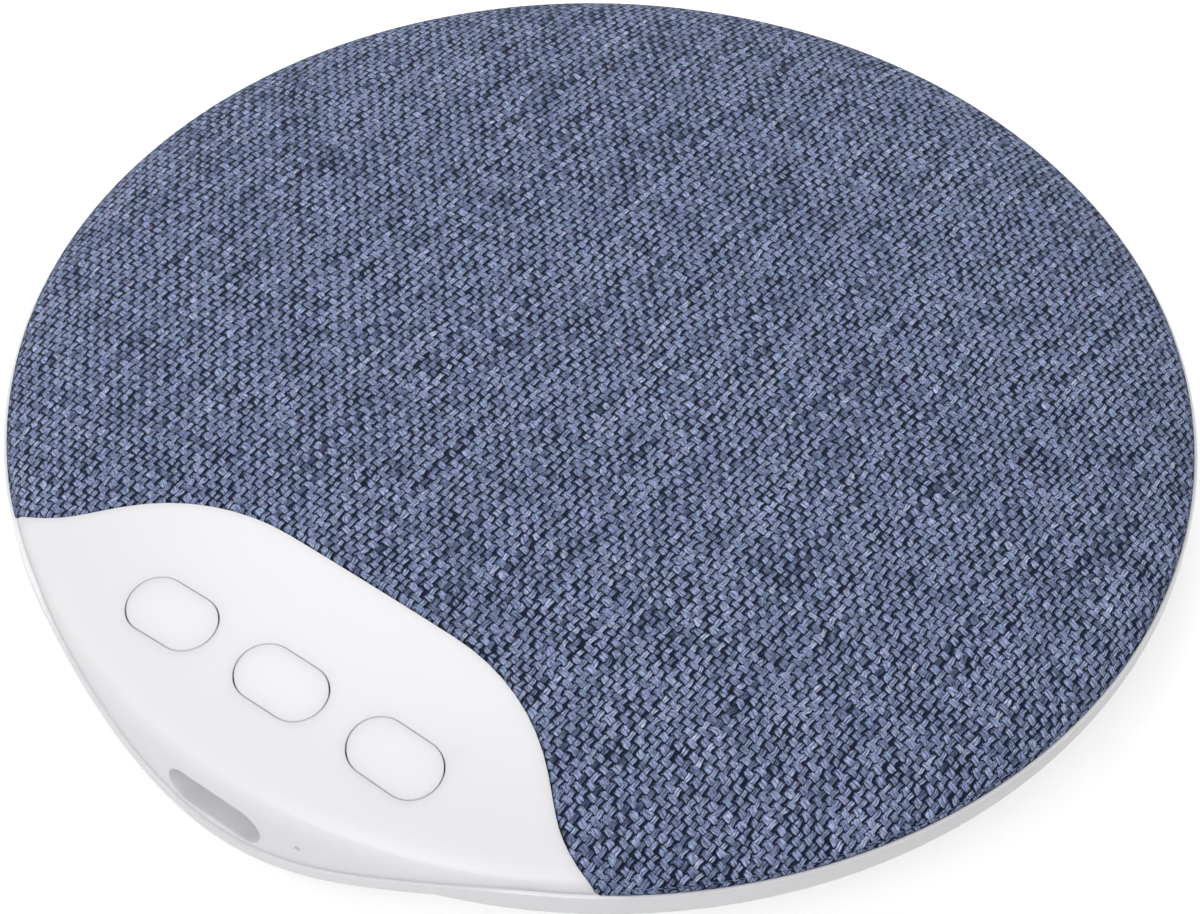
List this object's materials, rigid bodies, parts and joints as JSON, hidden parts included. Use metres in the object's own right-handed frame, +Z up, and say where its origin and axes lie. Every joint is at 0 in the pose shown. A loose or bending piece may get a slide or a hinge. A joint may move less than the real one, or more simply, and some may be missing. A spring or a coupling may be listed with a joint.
{
  "type": "pillow speaker",
  "caption": "Flat round pillow speaker with a stretched cloth crown, a white panel of push buttons, a charging slot in a deeper front wall and a soft foot ring.",
  "frame": {"origin": "centre of the disc on the plane it rests on", "axes": "+Z up through the crown, -Y towards the control panel and the charging slot, +X towards the volume up button"},
  "size_m": [0.115, 0.115, 0.0156],
  "materials": {
    "casing_white": "white moulded plastic with a soft gloss",
    "cloth": "blue melange plain weave, stretched",
    "foam": "thin open cell foam",
    "silicone": "matt soft rubber",
    "frame_plastic": "dark moulded plastic",
    "circuit_board": "glass fibre board with solder mask",
    "chip_plastic": "moulded chip package",
    "connector_plastic": "unfilled nylon",
    "steel": "pressed steel, plated",
    "contact_metal": "gold plated contacts",
    "magnet": "nickel plated magnet",
    "cell_foil": "laminated foil pouch",
    "coil": "enamelled copper wire on a former",
    "cone_paper": "coated paper",
    "spider_cloth": "resin treated cloth",
    "soft_rubber": "black rubber",
    "tape": "foam tape",
    "lead_red": "red insulated lead",
    "lead_black": "black insulated lead",
    "screw_steel": "zinc plated screws"
  },
  "bodies": {
    "case": {"bottom_shell": "casing_white", "foot_ring": "silicone", "control_panel": "casing_white", "fabric_cover": "cloth", "foam_pad": "foam", "grille_frame": "frame_plastic", "volume_down_switch": "steel", "play_switch": "steel", "volume_up_switch": "steel", "main_board": "circuit_board", "usb_socket": "steel", "usb_tongue": "chip_plastic", "usb_contacts": "contact_metal", "bluetooth_chip": "chip_plastic", "clock_crystal": "magnet", "amplifier_chip": "chip_plastic", "charger_chip": "chip_plastic", "board_inductors": "chip_plastic", "board_capacitors": "connector_plastic", "chip_antenna": "connector_plastic", "status_led": "connector_plastic", "battery_socket": "connector_plastic", "battery_plug": "connector_plastic", "speaker_socket": "connector_plastic", "speaker_plug": "connector_plastic", "microphone": "steel", "microphone_boot": "soft_rubber", "microphone_leads": "lead_red", "battery_cell": "cell_foil", "battery_board": "circuit_board", "battery_tape": "tape", "battery_lead_red": "lead_red", "battery_lead_black": "lead_black", "speaker_lead_red": "lead_red", "speaker_lead_black": "lead_black", "driver_basket": "steel", "driver_yoke": "steel", "driver_magnet": "magnet", "driver_pole_plate": "steel", "driver_spider": "spider_cloth", "driver_surround": "soft_rubber", "driver_gasket": "soft_rubber", "driver_terminal": "circuit_board", "shell_screws": "screw_steel", "board_screws": "screw_steel", "panel_screws": "screw_steel", "driver_screws": "screw_steel"},
    "volume_down": {"volume_down_button": "casing_white", "volume_down_plunger": "soft_rubber"},
    "play": {"play_button": "casing_white", "play_plunger": "soft_rubber"},
    "volume_up": {"volume_up_button": "casing_white", "volume_up_plunger": "soft_rubber"},
    "cone": {"driver_cone": "cone_paper", "driver_voice_coil": "coil", "driver_dust_cap": "cone_paper"}
  },
  "joints": [
    {"name": "volume_down_press", "type": "slide", "parent": "case", "child": "volume_down", "axis": [0, 0, -1], "range_m": [0, 0.0003], "stiffness_N_per_m": 2000},
    {"name": "play_press", "type": "slide", "parent": "case", "child": "play", "axis": [0, 0, -1], "range_m": [0, 0.0003], "stiffness_N_per_m": 2000},
    {"name": "volume_up_press", "type": "slide", "parent": "case", "child": "volume_up", "axis": [0, 0, -1], "range_m": [0, 0.0003], "stiffness_N_per_m": 2000},
    {"name": "cone_travel", "type": "slide", "parent": "case", "child": "cone", "axis": [0, 0, 1], "range_m": [-0.0006, 0.0006], "stiffness_N_per_m": 1500, "deforming": ["driver_surround", "driver_spider"]}
  ]
}
